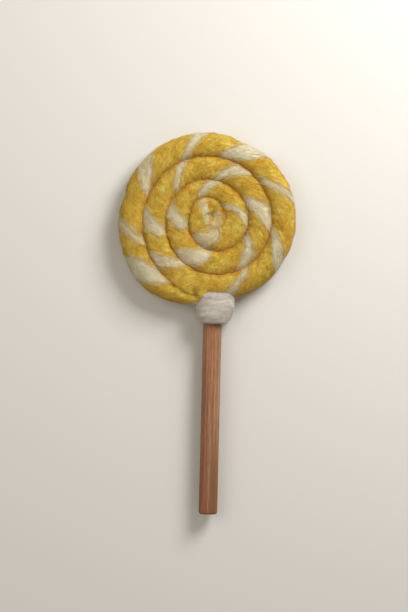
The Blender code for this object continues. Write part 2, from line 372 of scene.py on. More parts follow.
@dataclass(frozen=True)
class Felt:
    """The finish of a felted wool surface.

    It reads the mesh's attributes: run is the place along and across the fibres, mixed is 1 where
    fibres of the neighbouring strand are felted in, and on the cream strand also deep in a groove as
    painted shade, laid is 1 where wool of the other colour is needled over, and hollow is 1 deep in a
    groove, where the colour is darkened with painted shade.
    """

    name: str
    wool: Shades
    other: Shades
    neighbour: Colour
    # The tint of the painted shade deep in a groove
    hollow: Colour
    # The wool's tone: blotches, specks, and long and fine streaks along the fibres
    contrast: float = 0.14
    blotch_share: float = 0.18
    blotch: float = 0.0050
    speck: float = 0.0008
    streak_length: float = 0.0055
    streak_width: float = 0.0008
    finer: Ends = (3.0, 2.2)
    # The wool's hue, which drifts from warm to fresh
    warm: Colour = (1.0, 1.0, 1.0)
    fresh: Colour = (1.0, 1.0, 1.0)
    hue_size: float = 0.0060
    hue_ends: Ends = (0.40, 0.60)
    # How raggedly other wool is laid over, the neighbour's fibres are mixed in, and the grooves' painted
    # shade is laid
    laid_gain: float = 1.6
    laid_base: float = -0.3
    mixed_ragged: float = 3.0
    neighbour_share: float = 0.5
    groove_shade_ragged: float = 2.4
    groove_shade_share: float = 0.85
    # Painted shade in the small pits left by the felting needle, which the mesh does not have, in loose
    # patches: each threshold with how steep its edge is
    prick_shade: Colour = (0.80, 0.62, 0.40)
    prick_share: float = 0.0
    prick_size: float = 0.00075
    prick_edge: Ends = (0.56, 8.0)
    patch_size: float = 0.0075
    patch_edge: Ends = (0.47, 7.0)
    # The bump, with what long streaks and specks count in it next to 1 for fine streaks
    bump: float = 0.00025
    bump_strength: float = 0.7
    streak_bump: float = 0.6
    speck_bump: float = 0.5

    def material(self) -> bpy.types.Material:
        """Makes the felt's material.

        Returns:
            The material.
        """
        wiring = MaterialWiring(self.name)
        place, run = wiring.place(), wiring.attribute("run", "Vector")
        length, width = self.streak_length, self.streak_width
        streak = self.streaks(wiring, run, length, width)
        fine = self.streaks(wiring, run, length / self.finer[0], width / self.finer[1])
        blotch, speck = wiring.noise(place, self.blotch, 2.0), wiring.noise(place, self.speck)
        small_share = (1 - self.blotch_share) / 3
        tone = wiring.math("MULTIPLY_ADD", fine, small_share, wiring.math("MULTIPLY", streak, small_share))
        tone = wiring.math("MULTIPLY_ADD", speck, small_share, tone)
        tone = wiring.math("MULTIPLY_ADD", blotch, self.blotch_share, tone)
        places = (0.5 - self.contrast, 0.5, 0.5 + self.contrast)

        colour, other = (wiring.ramp(tone, places, shades) for shades in (self.wool, self.other))
        ragged = wiring.spread(streak, 0.5, self.laid_gain, self.laid_base)
        laid = wiring.math("MULTIPLY_ADD", wiring.attribute("laid"), self.laid_gain, ragged)
        colour = wiring.mix(wiring.clamp(laid), colour, other)
        hue = wiring.noise(place, self.hue_size, 4.0, Roughness=0.6)
        tint = wiring.ramp(hue, self.hue_ends, (self.warm, self.fresh))
        colour = wiring.mix(1.0, colour, tint, "MULTIPLY")
        # The neighbour's felted-in fibres, and on the cream strand also painted shade deep in a groove
        ragged = wiring.spread(streak, 0.5, self.mixed_ragged, self.neighbour_share)
        mixed = wiring.clamp(wiring.math("MULTIPLY", wiring.attribute("mixed"), ragged))
        colour = wiring.mix(mixed, colour, self.neighbour)
        # Painted shade of the needle pits
        colour = wiring.mix(self.pit_shade(wiring, place), colour, self.prick_shade, "MULTIPLY")
        # Painted shade deep in the grooves: the colour is multiplied by the hollow tint
        ragged = wiring.spread(speck, 0.5, self.groove_shade_ragged, self.groove_shade_share)
        shade = wiring.math("MULTIPLY", wiring.attribute("hollow"), ragged)
        colour = wiring.mix(shade, colour, self.hollow, "MULTIPLY")

        height = wiring.math("MULTIPLY_ADD", speck, self.speck_bump, fine)
        height = wiring.math("MULTIPLY_ADD", streak, self.streak_bump, height)
        normal = wiring.out(
            "ShaderNodeBump", None, Strength=self.bump_strength, Distance=self.bump, Height=height
        )
        return wiring.surface({
            "Base Color": colour, "Normal": normal, "Roughness": 0.95, "Specular IOR Level": 0.08,
            "Sheen Weight": 0.08, "Sheen Roughness": 0.6, "Subsurface Weight": 0.35,
            "Subsurface Radius": (1.0, 0.75, 0.4), "Subsurface Scale": 0.0013,
        })

    def pit_shade(self, wiring: Wiring, place: Socket) -> Socket:
        """Painted shade of the small pits left by the felting needle, in loose patches.

        Args:
            wiring: The material's wiring.
            place: The place on the piece.

        Returns:
            How much of the pits' painted shade each place gets.
        """
        inside = wiring.clamp(wiring.spread(wiring.noise(place, self.patch_size), *self.patch_edge))
        pit = wiring.clamp(wiring.spread(wiring.noise(place, self.prick_size, 0.0), *self.prick_edge))
        return wiring.math("MULTIPLY", wiring.math("MULTIPLY", inside, pit), self.prick_share)

    def streaks(self, wiring: Wiring, run: Socket, length: float, width: float) -> Socket:
        """Noise that is drawn out along the fibres."""
        drawn = wiring.stretch(run, (1 / length, 1 / width, 1.0))
        return wiring.noise(drawn, detail=2.5, Roughness=0.6, Distortion=0.35)


@dataclass(frozen=True)
class FibreFinish:
    """The finish of loose wool fibres, each of one tone."""

    name: str
    shades: Shades

    def material(self) -> bpy.types.Material:
        """Makes the fibres' material.

        Returns:
            The material.
        """
        wiring = MaterialWiring(self.name)
        colour = wiring.ramp(wiring.attribute("tone"), (0.0, 0.5, 1.0), self.shades)
        return wiring.surface({
            "Base Color": colour, "Roughness": 0.8, "Specular IOR Level": 0.1, "Sheen Weight": 0.06,
        })


@dataclass(frozen=True)
class BareWood:
    """The finish of a bare wooden dowel along Y, with painted shade that darkens its lower end."""

    name: str
    shades: Shades
    shade_places: Triple = (0.33, 0.5, 0.64)
    # The grain, with the finer pores in it
    grain_width: float = 0.0009
    grain_length: float = 0.045
    grain_share: float = 0.75
    pore_scale: Triple = (3.2, 12.0, 3.2)
    # The broad bands of tan and ruddy wood
    tan: Colour = (0.97, 1.09, 1.09)
    ruddy: Colour = (1.04, 0.83, 0.76)
    ruddy_width: float = 0.0018
    ruddy_ends: Ends = (0.40, 0.62)
    # Painted shade that darkens the lower end: its tint, and the places along Y where it is full and where it
    # has faded
    foot_shade: Colour = (0.80, 0.68, 0.58)
    foot_shade_reach: Ends = (-0.075, -0.038)
    bump: float = 0.00012
    bump_strength: float = 0.35

    def material(self) -> bpy.types.Material:
        """Makes the wood's material.

        Returns:
            The material.
        """
        wiring = MaterialWiring(self.name)
        place = wiring.place()
        drawn = wiring.stretch(place, (1 / self.grain_width, 1 / self.grain_length, 1 / self.grain_width))
        grain = wiring.noise(drawn, detail=3.0, Roughness=0.6)
        pores = wiring.noise(wiring.stretch(drawn, self.pore_scale))
        grain = wiring.math("MULTIPLY", grain, self.grain_share)
        tone = wiring.math("ADD", grain, wiring.math("MULTIPLY", pores, 1 - self.grain_share))
        heart = wiring.noise(wiring.scale(drawn, self.grain_width / self.ruddy_width), detail=2.0)
        colour = wiring.ramp(tone, self.shade_places, self.shades)
        tint = wiring.ramp(heart, self.ruddy_ends, (self.tan, self.ruddy))
        colour = wiring.mix(1.0, colour, tint, "MULTIPLY")
        # Painted shade towards the lower end
        along = wiring.add("ShaderNodeSeparateXYZ", None, Vector=place).outputs["Y"]
        low, high = self.foot_shade_reach
        foot_shade = wiring.out(
            "ShaderNodeMapRange", None, Value=along, From_Min=low, From_Max=high, To_Min=1.0, To_Max=0.0
        )
        colour = wiring.mix(foot_shade, colour, self.foot_shade, "MULTIPLY")
        normal = wiring.out(
            "ShaderNodeBump", None, Strength=self.bump_strength, Distance=self.bump, Height=tone
        )
        return wiring.surface({
            "Base Color": colour, "Normal": normal, "Roughness": 0.55, "Specular IOR Level": 0.35,
        })


def sweep(
    name: str, rows: Values, material: bpy.types.Material, attributes: dict[str, Values]
) -> bpy.types.Object:
    """Makes a closed mesh through rings of points, with a pole in the middle of each end.

    Args:
        name: The object's name.
        rows: The rings' points, as rings by points by 3.
        material: The mesh's material.
        attributes: A value, or a vector, for each point of each ring, under its attribute's name.

    Returns:
        The new object.
    """
    count, around = rows.shape[:2]
    points = np.concatenate([rows.reshape(-1, 3), [rows[0].mean(axis=0), rows[-1].mean(axis=0)]])
    here = np.arange(count * around).reshape(count, around)
    beside = np.roll(here, -1, axis=1)
    quads = np.stack([here[:-1], beside[:-1], beside[1:], here[1:]], axis=-1).reshape(-1, 4)
    first_pole, last_pole = count * around, count * around + 1
    poles = []
    for pole, ring, following in ((first_pole, beside[0], here[0]), (last_pole, here[-1], beside[-1])):
        poles += [(pole, int(a), int(b)) for a, b in zip(ring, following)]
    faces = [tuple(int(i) for i in quad) for quad in quads] + poles
    corners = points - points.mean(axis=0)
    halves = np.concatenate([quads[:, :3], quads[:, [0, 2, 3]]])
    a, b, c = (corners[halves[:, column]] for column in range(3))
    if np.einsum("ij,ij->", a, np.cross(b, c)) < 0:
        faces = [face[::-1] for face in faces]
    mesh = bpy.data.meshes.new(name)
    mesh.from_pydata(points.tolist(), [], faces)
    mesh.materials.append(material)
    mesh.shade_smooth()
    mesh.set_sharp_from_angle(angle=SHARP_ANGLE)
    for key, values in attributes.items():
        flat = values.reshape(count * around, -1)
        flat = np.concatenate([flat, flat[:1], flat[-1:]]).astype(np.float32)
        kind, field = ("FLOAT_VECTOR", "vector") if flat.shape[1] == 3 else ("FLOAT", "value")
        mesh.attributes.new(key, kind, "POINT").data.foreach_set(field, flat.ravel())
    return add_object(name, mesh)


# Where the cream strand crosses the middle of the coil's face: degrees along the coil, its width in
# degrees along the coil, and how thin its wool is laid, from 0 where it covers to 1 where the yellow shows
CREAM_CROSSINGS = np.array([
    (-48.0, 14.0, 0.0), (-7.0, 14.0, 0.0), (45.0, 20.0, 0.0), (72.0, 8.0, 0.6), (117.0, 14.0, 0.25),
    (161.5, 7.0, 0.1), (204.5, 22.0, 0.0), (246.0, 8.0, 0.55), (295.5, 12.0, 0.1), (336.0, 7.0, 0.5),
    (400.0, 12.0, 0.3), (435.0, 15.0, 0.2), (497.0, 9.0, 0.35), (564.0, 17.0, 0.15), (625.0, 25.0, 0.0),
    (674.0, 14.0, 0.1), (738.0, 26.0, 0.0), (797.0, 21.0, 0.25), (888.0, 22.0, 0.15), (982.0, 17.0, 0.35),
    (1080.0, 32.0, 0.42), (1190.0, 26.0, 0.0), (1410.0, 70.0, 0.4), (1620.0, 60.0, 0.0), (1830.0, 60.0, 0.0),
])
# Where the outer turn's rim is pressed in: degrees along the coil, half length in degrees, depth
RIM_DENTS = ((99.0, 9.0, 0.0009), (204.0, 24.0, 0.0012), (302.0, 9.0, 0.0006))
# How the grooves waver: waves a turn, where the wave peaks in degrees, height
WAVERS = ((19.3, 40.0, 0.00010), (31.1, 200.0, 0.00009), (52.7, 310.0, 0.00007))
# Where the face is poked in, first at the eye and then beside the collar: both ends of the dent right of
# and above the eye, half width, depth
FACE_DENTS = (
    ((0.0014, 0.0018), (0.0009, -0.0012), 0.0010, 0.0009),
    ((0.0006, -0.0022), (0.0004, -0.0032), 0.0011, 0.0007),
    ((0.0004, -0.0012), (-0.0006, -0.0062), 0.0007, 0.0004),
    ((-0.0014, 0.0052), (0.0000, -0.0010), 0.0006, 0.0003),
    ((-0.0058, -0.0348), (-0.0064, -0.0340), 0.0014, 0.0014),
    ((-0.0108, -0.0345), (-0.0120, -0.0330), 0.0010, 0.0005),
    ((-0.0150, -0.0318), (-0.0166, -0.0312), 0.0011, 0.0006),
)
# Tufts of cream wool needled over the eye: both ends right of and above the eye, half width, cover
EYE_TUFTS = (
    ((-0.0032, 0.0045), (-0.0022, 0.0002), 0.0014, 0.80),
    ((-0.0022, 0.0002), (-0.0010, -0.0042), 0.0013, 0.60),
    ((0.0030, -0.0014), (0.0026, -0.0046), 0.0019, 0.56),
    ((0.0022, -0.0050), (0.0012, -0.0100), 0.0022, 0.54),
)


@dataclass(frozen=True)
class Coil:
    """The rope's way round the eye, and its section on the way.

    A groove is where two turns touch, or the rim on the outer turn. A pair named from or ends is where
    along the coil something sets in or fades away.
    """

    eye: Ends
    middle_height: float
    # The groove: a spiral, off centre and slightly oval, then a knob that closes on the eye
    rim_radius: float = 0.0425
    turn_pitch: float = 0.01007
    off_centre: float = 0.0039
    off_centre_at: float = 340.0
    oval: float = 0.00043
    oval_at: float = 146.0
    knob_radius: float = 0.0069
    knob_offset: float = 0.0016
    knob_at: float = 68.0
    knob_closes: Ends = (1420.0, 1466.0)
    pit_radius: float = 0.00003
    rim_still: float = 0.7
    rim_until: float = 350.0
    # The rope's section, and how it thins towards its start
    start: float = 4.5
    end: float = 1459.0
    half_thickness: float = 0.0060
    squareness: float = 2.2
    least_width: float = 0.0006
    thin_end_power: float = 0.18
    full_end_from: Ends = (1170.0, 1320.0)
    start_taper: float = 0.0056
    start_taper_ends: float = 48.0
    # How the cream strand turns round the section: slower on the face, narrower on the inner side
    face_slowing: float = 0.45
    eye_slowing: float = 0.72
    eye_from: Ends = (1110.0, 1190.0)
    inner_width: float = 0.45
    inner_from: Ends = (0.42, 0.64)
    inner_ends: Ends = (0.73, 0.97)
    least_gain: float = 0.5
    # How the rope swells against its neighbours, and how far its crown is shifted outwards
    swell: float = 0.0014
    eye_swell: float = 0.0018
    crown_shift: float = 0.0010
    crown_shift_ends: Ends = (330.0, 420.0)
    free_until: float = 362.0
    press: float = 0.00004
    # Where the groove is felted shut, so that the face runs on over it: at the eye and beside the collar
    closed_from: Ends = (1365.0, 1405.0)
    closed_share: float = 3.0
    closed_clear: float = 0.0012
    closed_lap: float = 0.0002
    felted_ends: Ends = (376.0, 397.0)
    felted_share: float = 0.8
    # How far above the middle the face's dents have their full depth
    dent_fade: float = 0.0015
    # How finely the rope's length and the cream strand's edges are measured
    length_samples: int = 40000
    length_reach: float = 0.6
    edge_samples: int = 400

    def groove_radius(self, angle: Values) -> Values:
        """Measures the rope's outer side, which is also the inner side of the rope one turn before.

        Args:
            angle: The angle along the coil.

        Returns:
            The side's radius about the eye.
        """
        spiral = self.rim_radius - self.turn_pitch * angle / TURN
        spiral = spiral + self.off_centre * wave(angle, self.off_centre_at)
        spiral = spiral + self.oval * wave(angle, self.oval_at, 2)
        knob = self.knob_radius + self.knob_offset * wave(angle, self.knob_at)
        radius = np.maximum(spiral, knob) * (1 - smooth_step(*self.knob_closes, angle))
        radius = np.maximum(radius, self.pit_radius)
        for middle, half_length, depth in RIM_DENTS:
            away = np.abs(angle - middle) / half_length
            radius = radius - depth * (1 - smooth_step(0, 1, away))
        still = smooth_step(*self.closed_from, angle) + self.rim_still * (angle < self.rim_until)
        for order, peak, height in WAVERS:
            radius = radius + height * wave(angle, peak, order) * (1 - still)
        return radius

    def section(self, angle: Values) -> tuple[Values, Values, Values]:
        """Measures the rope's section.

        Args:
            angle: The angle along the coil.

        Returns:
            The radius of its middle about the eye, its half width and its half thickness.
        """
        taper = self.start_taper * (1 - smooth_step(self.start, self.start_taper_ends, angle))
        inner = self.groove_radius(angle + TURN)
        outer = np.maximum(self.groove_radius(angle) - taper, inner + self.least_width)
        half_width = (outer - inner) / 2
        thinness = np.minimum(1.0, half_width / (self.turn_pitch / 2))
        thinness = np.maximum(thinness, smooth_step(*self.full_end_from, angle))
        return (inner + outer) / 2, half_width, self.half_thickness * thinness**self.thin_end_power

    def edge_turn(self, angle: Values, side: float) -> Values:
        """Finds where an edge of the cream strand lies round the section.

        Args:
            angle: The angle along the coil.
            side: -0.5 for the edge that comes first along the coil and 0.5 for the other.

        Returns:
            The turn round the section, which is up where the edge crosses the face.
        """
        turns, samples = len(CREAM_CROSSINGS) - 3, self.edge_samples
        twist = np.linspace(1.0, turns + 1.0, turns * samples + 1)
        phase = twist % 1
        inside = smooth_step(*self.inner_from, phase) * (1 - smooth_step(*self.inner_ends, phase))
        width = through(CREAM_CROSSINGS[:, 1], twist) * (1 - (1 - self.inner_width) * inside)
        crossing = through(CREAM_CROSSINGS[:, 0], twist) + side * width
        gain = np.diff(crossing).reshape(turns, samples)
        even = gain.mean(axis=1, keepdims=True)
        gain = np.maximum(gain, self.least_gain * even)
        gain = gain * even / gain.mean(axis=1, keepdims=True)
        crossing = crossing[0] + running_sum(gain)
        past_face = 2 * np.pi * np.interp(angle, crossing, twist)
        at_eye = smooth_step(*self.eye_from, angle)
        slowing = self.face_slowing + (self.eye_slowing - self.face_slowing) * at_eye
        return np.pi / 2 - past_face + slowing * np.sin(past_face)

    def stations(self, step: float) -> tuple[Values, Values, Values]:
        """Sets out evenly spaced places along the rope.

        Args:
            step: The way along the rope from one place to the next.

        Returns:
            The angle, how thin the cream strand's wool is, and the way along, for each place.
        """
        angle = np.linspace(self.start, self.end, self.length_samples)
        middle, half_width, _ = self.section(angle)
        reach = middle + self.length_reach * half_width
        along = running_sum(reach[1:] * np.radians(np.diff(angle)))
        even = np.linspace(0.0, along[-1], round(along[-1] / step))
        angle = np.interp(even, along, angle)
        return angle, np.interp(angle, CREAM_CROSSINGS[:, 0], CREAM_CROSSINGS[:, 2]), even

    def points(self, angle: Values, turn: Values, depth: Values) -> tuple[Values, Values, Values]:
        """Places points of the rope, which swells against its neighbours and is flat where they touch.

        Args:
            angle: The angle along the coil of each ring.
            turn: The place round the section, rings by points: 0 away from the eye, a quarter turn up.
            depth: How far each point lies under the section's rim.

        Returns:
            The points, the direction out of the section at each of them, and how far each one is
            inside the rope's side, where that side touches a neighbour.
        """
        middle, half_width, half_thickness = (size[:, None] for size in self.section(angle))
        outer_side = np.cos(turn) > 0
        free_side = outer_side & (angle[:, None] < self.free_until)
        groove = angle[:, None] + np.where(outer_side, 0, TURN)
        felted = self.felted_share * (1 - smooth_step(*self.felted_ends, groove)) * (groove > self.free_until)
        knotted = smooth_step(*self.closed_from, groove)
        closed = knotted + felted
        swell = self.swell + (self.eye_swell - self.swell) * smooth_step(*self.eye_from, groove)
        shift = self.crown_shift * (1 - smooth_step(*self.crown_shift_ends, angle))[:, None]
        half_width = half_width + np.where(outer_side, shift, -shift)
        middle = middle - shift

        swollen = half_width * (1 + self.closed_share * closed)
        swollen = swollen + np.where(free_side, 0.0, swell * (1 - closed))
        direction = np.arctan2(half_thickness * np.sin(turn), half_width * np.cos(turn))
        reach = rim_reach(direction, swollen, half_thickness, self.squareness) - depth
        around = np.radians(angle)[:, None]
        sideways = reach * np.cos(direction)
        clear = np.where(free_side, half_width, half_width + self.press - np.abs(sideways))
        clear = clear + self.closed_clear * closed
        limit = np.where(free_side, np.inf, half_width + self.press + self.closed_lap * knotted)
        radius = middle + np.clip(sideways, -limit, limit)
        x = self.eye[0] - radius * np.sin(around)
        y = self.eye[1] - radius * np.cos(around)
        z = self.middle_height + reach * np.sin(direction)
        for start, end, half_across, dent in FACE_DENTS:
            away = off_line(x - self.eye[0], y - self.eye[1], start, end) / half_across
            z = z - dent * np.exp(-away**2) * smooth_step(0.0, self.dent_fade, z - self.middle_height)
        aside, upright = (1 - closed) * np.cos(direction), closed * np.sign(np.sin(direction))
        up = (1 - closed) * np.sin(direction) + upright
        return stacked(x, y, z), stacked(-aside * np.sin(around), -aside * np.cos(around), up), clear


@dataclass
class WoolStrand:
    """One felted strand of the coil's rope, as a closed mesh with the relief of needled wool."""

    coil: Coil
    strand: Strand
    finish: Felt
    # The mesh: the way between its rings, and a ring's points on the outside and between the strands
    step: float = 0.00043
    outer_points: int = 60
    bed_points: int = 9
    half_angle_ends: Ends = (0.2, 2.7)
    # The crease between the strands, and the bed that the cream strand is sunk into
    edge_depth: float = 0.00005
    edge_width: float = 0.00095
    edge_power: float = 1.6
    sunk: float = 0.0003
    bed_least: float = 0.34
    bed_gain: float = 0.5
    # The relief: lumps, the marks of kneading, and fibres drawn at a slant
    lump_height: float = 0.00032
    lump_length: float = 0.0062
    knead_height: float = 0.00012
    knead_length: float = 0.0021
    streak_height: float = 0.00006
    streak_length: float = 0.0060
    streak_width: float = 0.0012
    slant: float = 0.55
    lump_seed: float = 2.9
    seed: float = 3.7
    # The walls between the turns, and the groove that they leave: how far from a wall the painted shade and
    # the bridging fibres reach
    wall_fade: float = 0.0004
    hollow_width: float = 0.0021
    # Where tufts are needled over, and where loose fibres show, by the height over the middle's
    tuft_from: Ends = (1060.0, 1090.0)
    tuft_reach: Ends = (0.0085, 0.0105)
    tuft_edge: Ends = (0.7, 1.3)
    off_floor_from: Ends = (0.10, 0.28)
    face_from: Ends = (0.6, 1.1)
    back_share: float = 0.4

    def build(self) -> bpy.types.Object:
        """Builds the strand.

        Returns:
            The new object.
        """
        angle, thin, along = self.coil.stations(self.step)
        first, last = (self.coil.edge_turn(angle, side)[:, None] for side in (-0.5, 0.5))
        facing, half_angle = (first + last) / 2, np.clip((last - first) / 2, *self.half_angle_ends)
        around, to_edge = self.outline(half_angle)
        half_width = self.coil.section(angle)[1][:, None]
        girth = (half_width + self.coil.half_thickness) / 2
        small = np.minimum(1.0, 2 * half_width / self.coil.turn_pitch)
        is_outer = to_edge >= 0
        crease = np.exp(-(np.maximum(to_edge, 0) * girth / self.edge_width) ** self.edge_power)
        bed = self.bed_depth(around, half_angle, girth)
        depth = np.where(is_outer, self.edge_depth * small * crease, bed)
        rows, outward, clear = self.coil.points(angle, facing + around, depth)

        even_facing = np.linspace(0.0, 1.0, len(angle))[:, None] * (facing[-1] - facing[0])
        drift = np.diff(facing, axis=0) - self.slant * np.diff(even_facing, axis=0)
        across = around * girth + running_sum(drift * girth[1:])[:, None]
        run = stacked(along[:, None], across, self.seed)
        open_side = smooth_step(0.0, self.wall_fade, clear) * is_outer
        # How deep in a groove each point is, which sets the felt's painted shade there and where the bridging
        # fibres grow
        hollow = 1 - smooth_step(0.0, self.hollow_width, clear)
        mixed = crease
        # On the cream strand mixed also rises deep in a groove, where the neighbour's yellow-brown is painted
        # shade
        if self.strand is Strand.CREAM:
            mixed = np.maximum(np.maximum(crease, thin[:, None]), hollow)
        laid = self.laid_over(rows, angle)
        rows = rows + outward * (self.relief(rows, run) * open_side * small)[..., None]
        rows[..., 2] = np.maximum(rows[..., 2], FLOOR_GAP)
        showing = open_side * self.showing(rows)
        attributes = {
            "run": run,
            "mixed": mixed * is_outer,
            "hollow": hollow * is_outer,
            "laid": laid * is_outer,
            "exposed": showing * (1 - laid),
            "crossed": showing * np.maximum(mixed * (1 - laid), laid),
            "grain": self.grain(rows, across),
        }
        return sweep(f"{self.strand.value}_wool", rows, self.finish.material(), attributes)

    def outline(self, half_angle: Values) -> tuple[Values, Values]:
        """Sets out the strand's ring at each station, counted from the cream strand's middle.

        Args:
            half_angle: Half of what the cream strand takes of the section.

        Returns:
            The place of each point round the section, and how far it is from the strand's edge,
            which is below 0 on the wall between the strands.
        """
        outer = np.linspace(-1, 1, self.outer_points)[None, :]
        bed = np.linspace(-1, 1, self.bed_points + 2)[None, 1:-1]
        if self.strand is Strand.CREAM:
            half, middle, bed_turn = half_angle, 0.0, -half_angle * bed
        else:
            half, middle, bed_turn = np.pi - half_angle, np.pi, 2 * np.pi + half_angle * bed
        around = np.concatenate([middle + half * outer, bed_turn], axis=1)
        to_edge = np.concatenate([half * (1 - np.abs(outer)), np.full(bed_turn.shape, -1.0)], axis=1)
        return around, to_edge

    def laid_over(self, rows: Values, angle: Values) -> Values:
        """Measures how much wool of the other strand's colour is needled over at the eye.

        Args:
            rows: The strand's points.
            angle: The angle along the coil of each ring.

        Returns:
            The cover at each point.
        """
        x, y = rows[..., 0] - self.coil.eye[0], rows[..., 1] - self.coil.eye[1]
        cream = np.zeros(x.shape)
        for start, end, half_width, cover in EYE_TUFTS:
            away = off_line(x, y, start, end) / half_width
            cream = np.maximum(cream, cover * (1 - smooth_step(*self.tuft_edge, away)))
        near = smooth_step(*self.tuft_from, angle)[:, None]
        near = near * (1 - smooth_step(*self.tuft_reach, np.hypot(x, y)))
        near = near * (rows[..., 2] > self.coil.middle_height)
        return near * (cream if self.strand is Strand.YELLOW else 1 - cream)

    def grain(self, rows: Values, across: Values) -> Values:
        """Finds the direction of the drawn fibres, which keep an even slant to the rope.

        Args:
            rows: The strand's points.
            across: The place of each point across the fibres.

        Returns:
            A direction of length 1 for each point.
        """
        onward, aside = np.gradient(rows, axis=0), np.gradient(rows, axis=1)
        shift = -np.gradient(across, axis=0) / np.maximum(np.abs(np.gradient(across, axis=1)), 1e-7)
        run = onward + aside * shift[..., None]
        return run / np.maximum(np.linalg.norm(run, axis=-1, keepdims=True), 1e-9)

    def bed_depth(self, around: Values, half_angle: Values, girth: Values) -> Values:
        """Measures how deep the wall between the strands lies under the rope's rim.

        Args:
            around: The place of each point round the section.
            half_angle: Half of what the cream strand takes of the section.
            girth: The section's mean radius.

        Returns:
            The depth at each point. The cream strand's own side is sunk into the yellow one.
        """
        away = np.abs(np.angle(np.exp(1j * around))) / half_angle
        middle = (self.bed_least + self.bed_gain * half_angle / np.pi) * girth
        sink = self.sunk if self.strand is Strand.CREAM else 0.0
        return self.edge_depth + sink + (middle - self.edge_depth) * np.cos(np.minimum(away, 1.0) * np.pi / 2)

    def relief(self, rows: Values, run: Values) -> Values:
        """Raises the felt's lumps, the marks of kneading and the drawn fibres.

        Args:
            rows: The strand's points.
            run: The place of each point along and across the fibres.

        Returns:
            The height at each point.
        """
        height = self.lump_height * lumps(rows, self.lump_length, self.lump_seed)
        height += self.knead_height * lumps(rows, self.knead_length, self.lump_seed)
        drawn = run / np.array([self.streak_length, self.streak_width, 1.0])
        return height + self.streak_height * lumps(drawn, 1.0, self.seed)

    def showing(self, rows: Values) -> Values:
        """Measures how many loose fibres each point gets.

        Args:
            rows: The strand's points.

        Returns:
            The share at each point: all on the face, fewer on the back, none on the floor.
        """
        height = rows[..., 2] / self.coil.middle_height
        on_face = self.back_share + (1 - self.back_share) * smooth_step(*self.face_from, height)
        return smooth_step(*self.off_floor_from, height) * on_face


@dataclass
class Collar:
    """The white wool wrapped round the dowel's top and the coil's rim."""

    coil: Coil
    axis_x: float
    finish: Felt
    middle_height: float = 0.0062
    squareness: float = 2.3
    sides: int = 150
    rings: int = 110
    length_samples: int = 4000
    # The relief: lumps, and ridges where the wool is wound round
    lump_height: float = 0.00022
    lump_length: float = 0.0050
    ridge_height: float = 0.00014
    ridge_width: float = 0.0011
    ridge_reach: float = 1.1
    seed: float = 21.3
    ridge_seed: float = 26.3
    # The wound fibres: the radius that they are measured on, and how they weave up and down
    wound_radius: float = 0.0075
    weave: float = 0.0004
    weaves: int = 3
    # Where loose fibres show, and the brim under the coil's face, by the distance below the eye
    off_floor_from: Ends = (0.0006, 0.0016)
    brim_from: Ends = (-0.0366, -0.0350)
    brim_above: float = 0.0010
    # Distance below the eye, half width, half height and sideways shift from the dowel's axis
    stations: tuple[tuple[float, float, float, float], ...] = (
        (0.0341, 0.0046, 0.0040, 0.0009),
        (0.0343, 0.0062, 0.0052, 0.0009),
        (0.0349, 0.0072, 0.0061, 0.0010),
        (0.0360, 0.0076, 0.0067, 0.0010),
        (0.0380, 0.0079, 0.0069, 0.0009),
        (0.0405, 0.0080, 0.0070, 0.0008),
        (0.0428, 0.0077, 0.0069, 0.0006),
        (0.0446, 0.0072, 0.0065, 0.0004),
        (0.0461, 0.0064, 0.0058, 0.0002),
        (0.0468, 0.0054, 0.0051, 0.0001),
        (0.0469, 0.0044, 0.0043, 0.0000),
        (0.0466, 0.0036, 0.0036, 0.0000),
    )

    def build(self) -> bpy.types.Object:
        """Builds the collar.

        Returns:
            The new object.
        """
        even, (below, half_width, half_height, shift) = self.sections()
        turn = np.linspace(0, 2 * np.pi, self.sides, endpoint=False)[None, :]
        cosine, sine = np.cos(turn), np.sin(turn)
        reach = rim_reach(turn, half_width, half_height, self.squareness)
        x, z = self.axis_x + shift + reach * cosine, self.middle_height + reach * sine
        rows = stacked(x, self.coil.eye[1] - below, z)
        height = self.lump_height * lumps(rows, self.lump_length, self.seed)
        ridges = stacked(cosine * self.ridge_reach, sine * self.ridge_reach, even / self.ridge_width)
        height += self.ridge_height * lumps(ridges, 1.0, self.ridge_seed)
        rows = rows + stacked(cosine, 0.0, sine) * height[..., None]
        rows[..., 2] = np.maximum(rows[..., 2], FLOOR_GAP)
        grain = np.roll(rows, -1, axis=1) - np.roll(rows, 1, axis=1)
        grain /= np.linalg.norm(grain, axis=-1, keepdims=True)
        on_brim = smooth_step(*self.brim_from, rows[..., 1] - self.coil.eye[1])
        over_middle = smooth_step(self.middle_height, self.middle_height + self.brim_above, rows[..., 2])
        bare = np.zeros(reach.shape)
        across = even + self.weave * np.sin(self.weaves * turn)
        attributes = {
            "run": stacked(turn * self.wound_radius, across, self.seed),
            "mixed": bare,
            "hollow": bare,
            "laid": bare,
            "exposed": smooth_step(*self.off_floor_from, rows[..., 2]),
            "brim": on_brim * over_middle,
            "grain": grain,
        }
        return sweep("collar_wool", rows, self.finish.material(), attributes)

    def sections(self) -> tuple[Values, list[Values]]:
        """Sets out evenly spaced sections on a smooth curve through the stations.

        Returns:
            The way over the wool to each section, and its four sizes as the stations give them, each
            as a column.
        """
        sizes = np.array(self.stations)
        sizes = np.concatenate([sizes[:1], sizes, sizes[-1:]])
        place = np.linspace(1.0, len(sizes) - 2.0, self.length_samples)
        fine = [through(column, place) for column in sizes.T]
        length = running_sum(np.hypot(np.diff(fine[0]), np.diff(fine[1])))
        even = np.linspace(0.0, length[-1], self.rings)
        return even[:, None], [np.interp(even, length, column)[:, None] for column in fine]


